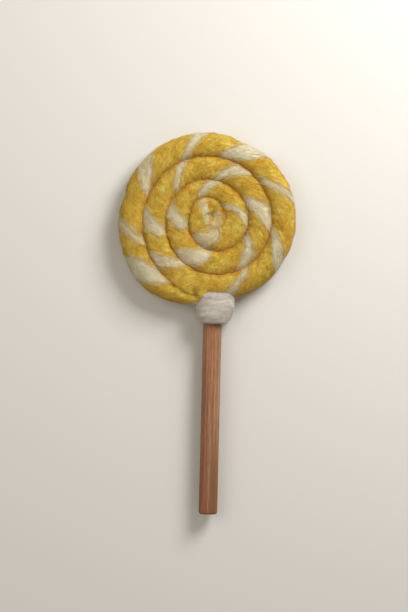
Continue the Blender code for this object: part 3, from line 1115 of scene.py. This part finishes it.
@dataclass
class Dowel:
    """The bare wooden stick along Y, in its solid's box."""

    low: Vector
    high: Vector
    finish: BareWood
    # The mesh: points on a ring, the way between rings, the rounded edges, and rings on the foot's face
    sides: int = 96
    step: float = 0.0009
    edge_round: float = 0.0010
    edge_steps: int = 5
    side_from: float = 0.0020
    side_ends: float = 0.0015
    foot_rings: Ends = (0.35, 0.7)
    # The grain, which is cut in
    grain_size: Triple = (0.0012, 0.030, 0.0012)
    grain_depth: float = 0.00004
    seed: float = 4.2

    def build(self) -> bpy.types.Object:
        """Builds the dowel.

        Returns:
            The new object.
        """
        middle, radius = (self.low + self.high) / 2, (self.high.x - self.low.x) / 2
        turns = np.linspace(0, np.pi / 2, self.edge_steps + 1)
        end_y = self.edge_round * (1 - np.cos(turns))
        end_radius = radius - self.edge_round * (1 - np.sin(turns))
        side_y = np.arange(self.low.y + self.side_from, self.high.y - self.side_ends, self.step)
        foot_y = [self.low.y] * len(self.foot_rings)
        y = np.concatenate([foot_y, self.low.y + end_y, side_y, self.high.y - end_y[::-1]])[:, None]
        inner = np.array(self.foot_rings) * end_radius[0]
        side = np.full(side_y.shape, radius)
        reach = np.concatenate([inner, end_radius, side, end_radius[::-1]])[:, None]
        turn = np.linspace(0, 2 * np.pi, self.sides, endpoint=False)[None, :]
        rows = stacked(middle.x + reach * np.cos(turn), y, middle.z + reach * np.sin(turn))
        inset = self.grain_depth * (lumps(rows / np.array(self.grain_size), 1.0, self.seed) - 1.0)
        inset = inset * smooth_step(radius / 2, radius, reach)
        rows = rows + stacked(np.cos(turn), 0.0, np.sin(turn)) * inset[..., None]
        return sweep("dowel_stick", rows, self.finish.material(), {})


@dataclass
class FibreTree:
    """The node tree that lays loose fibres along the grain of a felted piece.

    A fibre is a bent line of length 1 and no thickness until it is laid. Its bow and its wander are
    what bends it, and the tree's inputs say the rest.
    """

    name: str = "loose fibres"
    resolution: int = 4
    sides: int = 3
    bow: float = 0.12
    length_range: Ends = (0.55, 1.3)
    wander_scale: float = 330.0
    wander_spread: float = 60.0
    thinning: float = 3.0
    floor_share: float = 0.6

    def __post_init__(self) -> None:
        """Makes the tree with its inputs and its output."""
        self.tree = bpy.data.node_groups.new(self.name, "GeometryNodeTree")
        kinds = {
            "Geometry": "Geometry", "Density": "Float", "Length": "Float", "Thickness": "Float",
            "Lift": "Float", "Sink": "Float", "Stray": "Float", "Rise": "Float", "Wander": "Float",
            "Seed": "Int", "Weight": "String", "Material": "Material",
        }
        for name, kind in kinds.items():
            self.tree.interface.new_socket(name=name, in_out="INPUT", socket_type=f"NodeSocket{kind}")
        self.tree.interface.new_socket(name="Geometry", in_out="OUTPUT", socket_type="NodeSocketGeometry")
        self.wiring = Wiring(self.tree)
        self.given = self.wiring.add("NodeGroupInput").outputs

    def grow(self) -> bpy.types.NodeTree:
        """Wires the tree.

        Returns:
            The tree.
        """
        fibres = self.bend(*self.scatter())
        realized = self.wiring.out("GeometryNodeRealizeInstances", None, Geometry=self.thicken(fibres))
        dressed = self.wiring.out(
            "GeometryNodeSetMaterial", None, Geometry=realized, Material=self.given["Material"]
        )
        self.wiring.add("NodeGroupOutput", None, Geometry=dressed)
        return self.tree

    def random(self, low: Any, high: Any, salt: Salt) -> Socket:
        """A random number for each fibre."""
        seed = self.wiring.math("ADD", self.given["Seed"], float(salt))
        settings = {"data_type": "FLOAT"}
        return self.wiring.out("FunctionNodeRandomValue", settings, Min=low, Max=high, Seed=seed)

    def either_way(self, most: Socket, salt: Salt) -> Socket:
        """A random number for each fibre, up to a size on either side of 0."""
        return self.random(self.wiring.math("MULTIPLY", most, -1.0), most, salt)

    def read(self, name: Any, kind: str = "FLOAT") -> Socket:
        """Reads an attribute of the geometry."""
        return self.wiring.out("GeometryNodeInputNamedAttribute", {"data_type": kind}, Name=name)

    def scatter(self) -> tuple[Socket, Socket]:
        """Scatters points where fibres show.

        Returns:
            The points, and the turn of each fibre: along the grain, strayed to the side and up.
        """
        wiring, given = self.wiring, self.given
        density = wiring.math("MULTIPLY", self.read(given["Weight"]), given["Density"])
        scattered = wiring.add(
            "GeometryNodeDistributePointsOnFaces", None,
            Mesh=given["Geometry"], Density=density, Seed=given["Seed"],
        )
        points = wiring.out(
            "GeometryNodeStoreNamedAttribute", {"data_type": "FLOAT", "domain": "POINT"},
            Geometry=scattered.outputs["Points"], Name="tone", Value=self.random(0.0, 1.0, Salt.TONE),
        )
        upright = wiring.out(
            "FunctionNodeAlignRotationToVector", {"axis": "Z"}, Vector=scattered.outputs["Normal"]
        )
        lying = wiring.out(
            "FunctionNodeAlignRotationToVector", {"axis": "X", "pivot_axis": "Z"},
            Rotation=upright, Vector=self.read("grain", "FLOAT_VECTOR"),
        )
        aside = self.either_way(given["Stray"], Salt.ASIDE)
        aside = wiring.math("MULTIPLY", wiring.math("MULTIPLY", aside, aside), wiring.math("SIGN", aside))
        up = self.either_way(given["Rise"], Salt.RISE)
        euler = wiring.out("ShaderNodeCombineXYZ", None, X=0.0, Y=up, Z=aside)
        strayed = wiring.out("FunctionNodeEulerToRotation", None, Euler=euler)
        rotation = wiring.out(
            "FunctionNodeRotateRotation", {"rotation_space": "LOCAL"}, Rotation=lying, Rotate_By=strayed
        )
        return points, rotation

    def bend(self, points: Socket, rotation: Socket) -> Socket:
        """Lays a bent fibre at each point, and lets it wander, but not into the floor.

        Args:
            points: Where the fibres' middles are.
            rotation: How each one lies.

        Returns:
            The fibres as curves.
        """
        wiring, given = self.wiring, self.given
        low = wiring.math("MULTIPLY", given["Sink"], -1.0)
        high = wiring.math("MULTIPLY", given["Lift"], 2.0)
        start, middle, end = (
            wiring.out("ShaderNodeCombineXYZ", None, X=along, Y=aside, Z=height)
            for along, aside, height in ((-0.5, 0.0, low), (0.0, self.bow, high), (0.5, 0.0, low))
        )
        fibre = wiring.out(
            "GeometryNodeCurveQuadraticBezier", None,
            Resolution=self.resolution, Start=start, Middle=middle, End=end,
        )
        long = wiring.math("MULTIPLY", given["Length"], self.random(*self.length_range, Salt.LENGTH))
        size = wiring.out("ShaderNodeCombineXYZ", None, X=long, Y=long, Z=1.0)
        laid = wiring.out(
            "GeometryNodeInstanceOnPoints", None, Points=points, Instance=fibre, Rotation=rotation, Scale=size
        )
        curves = wiring.out("GeometryNodeRealizeInstances", None, Geometry=laid)
        drift = wiring.add(
            "ShaderNodeTexNoise", {"noise_dimensions": "4D"}, Vector=wiring.out("GeometryNodeInputPosition"),
            W=wiring.math("MULTIPLY", self.read("tone"), self.wander_spread),
            Scale=self.wander_scale, Detail=1.0,
        ).outputs["Color"]
        centred = wiring.out(
            "ShaderNodeVectorMath", {"operation": "SUBTRACT"}, Vector_0=drift, Vector_1=(0.5, 0.5, 0.5)
        )
        wander = wiring.scale(centred, given["Wander"])
        moved = wiring.out("GeometryNodeSetPosition", None, Geometry=curves, Offset=wander)
        place = wiring.add("ShaderNodeSeparateXYZ", None, Vector=wiring.out("GeometryNodeInputPosition"))
        least = wiring.math("MULTIPLY", given["Thickness"], self.floor_share)
        kept = wiring.out(
            "ShaderNodeCombineXYZ", None, X=place.outputs["X"], Y=place.outputs["Y"],
            Z=wiring.math("MAXIMUM", place.outputs["Z"], least),
        )
        return wiring.out("GeometryNodeSetPosition", None, Geometry=moved, Position=kept)

    def thicken(self, fibres: Socket) -> Socket:
        """Gives the fibres their sides, and thins them towards both ends.

        Args:
            fibres: The fibres as curves.

        Returns:
            The fibres as a mesh.
        """
        wiring = self.wiring
        radius = wiring.math("MULTIPLY", self.given["Thickness"], 0.5)
        profile = wiring.out("GeometryNodeCurvePrimitiveCircle", None, Resolution=self.sides, Radius=radius)
        off_middle = wiring.math("SUBTRACT", wiring.out("GeometryNodeSplineParameter"), 0.5)
        thinned = wiring.math("POWER", wiring.math("ABSOLUTE", off_middle), 2.0)
        taper = wiring.math("SUBTRACT", 1.0, wiring.math("MULTIPLY", thinned, self.thinning))
        return wiring.out(
            "GeometryNodeCurveToMesh", None, Curve=fibres, Profile_Curve=profile, Scale=taper, Fill_Caps=True
        )


@dataclass(frozen=True)
class Lay:
    """How the fibres of a coat lie: their size, how they stand off the piece, and where they grow.

    Lift and sink are how far a fibre's middle is above the piece and its ends are in it, stray and
    rise are how far it turns off the grain and up, in radians, and wander is how far it curls.
    """

    length: float
    thickness: float
    lift: float = 0.00020
    sink: float = 0.00006
    stray: float = 0.45
    rise: float = 0.10
    wander: float = 0.0012
    cover: Cover = Cover.EXPOSED


@dataclass
class FibreCoat:
    """A coat of loose wool fibres on a felted piece."""

    name: str
    host: bpy.types.Object
    finish: FibreFinish
    count: int
    lay: Lay
    seed: int

    def build(self, tree: bpy.types.NodeTree) -> bpy.types.Object:
        """Lays the fibres and makes them a mesh of their own.

        Args:
            tree: The node tree that lays them.

        Returns:
            The new object.
        """
        carrier = add_object("carrier", self.host.data)
        modifier = carrier.modifiers.new("fibres", "NODES")
        modifier.node_group = tree
        lay = self.lay
        values = {
            "Density": self.count / self.weighted_area(), "Length": lay.length, "Thickness": lay.thickness,
            "Lift": lay.lift, "Sink": lay.sink, "Stray": lay.stray, "Rise": lay.rise, "Wander": lay.wander,
            "Seed": self.seed, "Weight": lay.cover.value, "Material": self.finish.material(),
        }
        for item in tree.interface.items_tree:
            if item.item_type == "SOCKET" and item.in_out == "INPUT" and item.name in values:
                modifier[item.identifier] = values[item.name]
        evaluated = carrier.evaluated_get(bpy.context.evaluated_depsgraph_get())
        laid = bpy.data.meshes.new_from_object(evaluated)
        carrier.modifiers.remove(modifier)
        bpy.data.objects.remove(carrier)
        laid.name = self.name
        return add_object(self.name, laid)

    def weighted_area(self) -> float:
        """Measures the host's area, each part of it counted by its weight.

        Returns:
            The area.
        """
        mesh = self.host.data
        areas = np.empty(len(mesh.polygons), np.float32)
        starts = np.empty(len(mesh.polygons), np.int32)
        corners = np.empty(len(mesh.loops), np.int32)
        weights = np.empty(len(mesh.vertices), np.float32)
        mesh.polygons.foreach_get("area", areas)
        mesh.polygons.foreach_get("loop_start", starts)
        mesh.loops.foreach_get("vertex_index", corners)
        mesh.attributes[self.lay.cover.value].data.foreach_get("value", weights)
        sizes = np.diff(np.append(starts, len(corners)))
        return float((areas * np.add.reduceat(weights[corners], starts) / sizes).sum())


@dataclass(frozen=True)
class Lamp:
    """A square area light that faces the eye: its place from there, its side and its power."""

    name: str
    place: Triple
    size: float
    power: float
    colour: Colour = (1.0, 0.985, 0.965)


@dataclass
class Studio:
    """A pale floor, soft lights and a camera that looks straight down on the coil's face."""

    eye: Ends
    # The photograph's frame: its size in pixels, where the eye is in it, and the size of a pixel
    frame_width: int = 408
    frame_height: int = 612
    eye_pixel_x: float = 210.4
    eye_pixel_y: float = 212.6
    pixel_size: float = 0.000425
    # The camera
    lean: float = math.radians(1.37)
    camera_distance: float = 0.95
    film_height: float = 0.036
    face_height: float = 0.008
    # The floor and the light: a soft key at the upper right, a weak fill and a pale sky
    floor_reach: float = 3.0
    floor_colour: Colour = (0.66, 0.65, 0.63)
    sky_colour: Colour = (1.0, 0.89, 0.73)
    sky_strength: float = 0.38
    lamps: tuple[Lamp, ...] = (
        Lamp("key", (0.25, 0.28, 0.30), 0.23, 2.72),
        Lamp("fill", (-0.52, 0.16, 0.74), 0.60, 1.95),
    )

    def build(self) -> None:
        """Builds the floor, the lights and the camera."""
        self.lay_floor()
        self.light_up()
        self.place_camera()

    def lay_floor(self) -> None:
        """Lays a wide pale floor."""
        mesh = bpy.data.meshes.new("floor")
        near, far = -self.floor_reach, self.floor_reach
        corners = [(near, near, 0.0), (far, near, 0.0), (far, far, 0.0), (near, far, 0.0)]
        mesh.from_pydata(corners, [], [(0, 1, 2, 3)])
        values = {"Base Color": (*self.floor_colour, 1.0), "Roughness": 0.9}
        mesh.materials.append(MaterialWiring("pale floor").surface(values))
        floor = add_object("floor", mesh)

    def light_up(self) -> None:
        """Lights the sky and hangs the lamps."""
        world = bpy.data.worlds.new("studio")
        world.use_nodes = True
        sky = world.node_tree.nodes["Background"].inputs
        sky["Color"].default_value = (*self.sky_colour, 1.0)
        sky["Strength"].default_value = self.sky_strength
        bpy.context.scene.world = world
        for lamp in self.lamps:
            data = bpy.data.lights.new(lamp.name, "AREA")
            data.size = lamp.size
            data.energy = lamp.power
            data.color = lamp.colour
            hung = add_object(lamp.name, data)
            hung.location = Vector((*self.eye, 0.0)) + Vector(lamp.place)
            hung.rotation_euler = (-Vector(lamp.place)).to_track_quat("-Z", "Y").to_euler()

    def place_camera(self) -> None:
        """Places the camera so that the eye falls on its pixel of the photograph."""
        data = bpy.data.cameras.new("camera")
        data.sensor_fit = "VERTICAL"
        seen_height = self.frame_height * self.pixel_size
        data.lens = self.film_height * self.camera_distance / seen_height * MILLIMETRES
        data.sensor_height = self.film_height * MILLIMETRES
        right = (self.frame_width / 2 - self.eye_pixel_x) * self.pixel_size
        down = (self.frame_height / 2 - self.eye_pixel_y) * self.pixel_size
        x = self.eye[0] + right * math.cos(self.lean) + down * math.sin(self.lean)
        y = self.eye[1] + right * math.sin(self.lean) - down * math.cos(self.lean)
        camera = add_object("camera", data)
        camera.location = (x, y, self.face_height + self.camera_distance)
        camera.rotation_euler = (0.0, 0.0, self.lean)
        bpy.context.scene.camera = camera


# The deep, middle and pale shade of each wool and of the wood
YELLOW_WOOL = ((0.40, 0.205, 0.012), (0.54, 0.365, 0.040), (0.67, 0.55, 0.125))
CREAM_WOOL = ((0.51, 0.445, 0.285), (0.59, 0.535, 0.378), (0.67, 0.63, 0.49))
WHITE_WOOL = ((0.51, 0.44, 0.365), (0.645, 0.595, 0.535), (0.76, 0.735, 0.70))
# The felts' hollow tint is the painted shade deep in the grooves, and their prick tint the painted shade of
# the needle pits
YELLOW_FELT = Felt(
    "yellow felt", YELLOW_WOOL, CREAM_WOOL, neighbour=(0.62, 0.51, 0.28), hollow=(0.88, 0.63, 0.41),
    contrast=0.12, blotch_share=0.34, warm=(1.02, 0.91, 0.82), fresh=(0.99, 1.05, 1.14),
    streak_length=0.0036, prick_share=0.9,
)
CREAM_FELT = Felt(
    "cream felt", CREAM_WOOL, YELLOW_WOOL, neighbour=(0.58, 0.40, 0.08), hollow=(0.94, 0.72, 0.46),
    contrast=0.15, blotch_share=0.34, warm=(1.02, 0.96, 0.88), fresh=(0.99, 1.02, 1.04),
    streak_width=0.0010, neighbour_share=0.45, prick_shade=(0.90, 0.80, 0.62), prick_share=0.5,
)
WHITE_FELT = Felt(
    "white felt", WHITE_WOOL, WHITE_WOOL, neighbour=(0.6, 0.55, 0.48), hollow=(0.5, 0.42, 0.35),
    contrast=0.19, streak_length=0.009, streak_width=0.0006, bump=0.00016,
)
YELLOW_FIBRES = FibreFinish("yellow fibres", ((0.45, 0.25, 0.020), (0.63, 0.43, 0.060), (0.77, 0.63, 0.17)))
# Fibres across the grooves, coloured darker than the yellow fibres as painted shade
GROOVE_SHADE_FIBRES = FibreFinish("yellow fibres darkened as groove shade", ((0.30, 0.14, 0.012), (0.52, 0.33, 0.04), (0.68, 0.52, 0.13)))
CREAM_FIBRES = FibreFinish("cream fibres", ((0.61, 0.555, 0.395), (0.69, 0.65, 0.49), (0.77, 0.75, 0.61)))
WHITE_FIBRES = FibreFinish("white fibres", ((0.55, 0.495, 0.425), (0.70, 0.66, 0.61), (0.82, 0.80, 0.775)))
DOWEL_WOOD = BareWood("dowel wood", ((0.165, 0.073, 0.036), (0.28, 0.137, 0.070), (0.41, 0.222, 0.133)))

LYING = Lay(length=0.0034, thickness=0.00008, lift=0.00014, stray=1.0)
FUZZ = Lay(length=0.0028, thickness=0.00006, lift=0.0003, stray=1.5, rise=0.25)
OVER = Lay(length=0.0048, thickness=0.00008, stray=0.7, cover=Cover.CROSSED)
BRIDGING = Lay(length=0.0036, thickness=0.00009, lift=0.0004, stray=1.55, cover=Cover.HOLLOW)
WOUND = Lay(length=0.0055, thickness=0.00007, lift=0.00008)
WHISKERS = Lay(length=0.0046, thickness=0.00009, lift=0.0004, stray=1.7, rise=0.3, cover=Cover.BRIM)


def keep(piece: bpy.types.Object, node: str | None = None) -> None:
    """Hands a finished piece to the frame.

    Args:
        piece: The piece.
        node: The solid that it stands for, if any.
    """
    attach(piece, BODY)
    if node:
        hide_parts(node)
    LOG.info("%s: %d faces", piece.name, len(piece.data.polygons))


def main() -> None:
    """Builds the lollipop and its studio."""
    bpy.context.scene.view_settings.view_transform = "Standard"
    logging.basicConfig(level=logging.INFO, format="%(message)s")
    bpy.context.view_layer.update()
    dowel_low, dowel_high = (Vector(corner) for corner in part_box("dowel"))
    dowel_x = (dowel_low.x + dowel_high.x) / 2
    eye = (dowel_x + EYE_ASIDE, dowel_low.y + EYE_ABOVE_FOOT)
    coil = Coil(eye=eye, middle_height=(dowel_low.z + dowel_high.z) / 2)

    Studio(eye).build()
    yellow = WoolStrand(coil, Strand.YELLOW, YELLOW_FELT).build()
    cream = WoolStrand(coil, Strand.CREAM, CREAM_FELT, outer_points=24, seed=8.1).build()
    collar = Collar(coil, dowel_x, WHITE_FELT).build()
    dowel = Dowel(dowel_low, dowel_high, DOWEL_WOOD).build()
    tree = FibreTree().grow()
    coats = (
        (FibreCoat("yellow_wisps", yellow, YELLOW_FIBRES, 7000, LYING, seed=1), Slot.YELLOW),
        (FibreCoat("yellow_fuzz", yellow, YELLOW_FIBRES, 7200, FUZZ, seed=4), Slot.YELLOW),
        (FibreCoat("yellow_over", cream, YELLOW_FIBRES, 1100, OVER, seed=7), Slot.YELLOW),
        (FibreCoat("groove_fuzz", yellow, GROOVE_SHADE_FIBRES, 3000, BRIDGING, seed=9), Slot.YELLOW),
        (FibreCoat("cream_wisps", cream, CREAM_FIBRES, 3200, LYING, seed=2), Slot.CREAM),
        (FibreCoat("cream_fuzz", cream, CREAM_FIBRES, 3000, FUZZ, seed=5), Slot.CREAM),
        (FibreCoat("cream_over", yellow, CREAM_FIBRES, 1500, OVER, seed=8), Slot.CREAM),
        (FibreCoat("collar_wisps", collar, WHITE_FIBRES, 2400, WOUND, seed=3), Slot.WHITE),
        (FibreCoat("collar_fuzz", collar, WHITE_FIBRES, 1100, FUZZ, seed=6), Slot.WHITE),
        (FibreCoat("collar_whiskers", collar, WHITE_FIBRES, 260, WHISKERS, seed=10), Slot.WHITE),
    )
    for coat, slot in coats:
        keep(coat.build(tree))
    keep(yellow, "yellow_strand")
    keep(cream, "cream_strand")
    keep(collar, "collar")
    keep(dowel, "dowel")


if __name__ == "__main__":
    main()
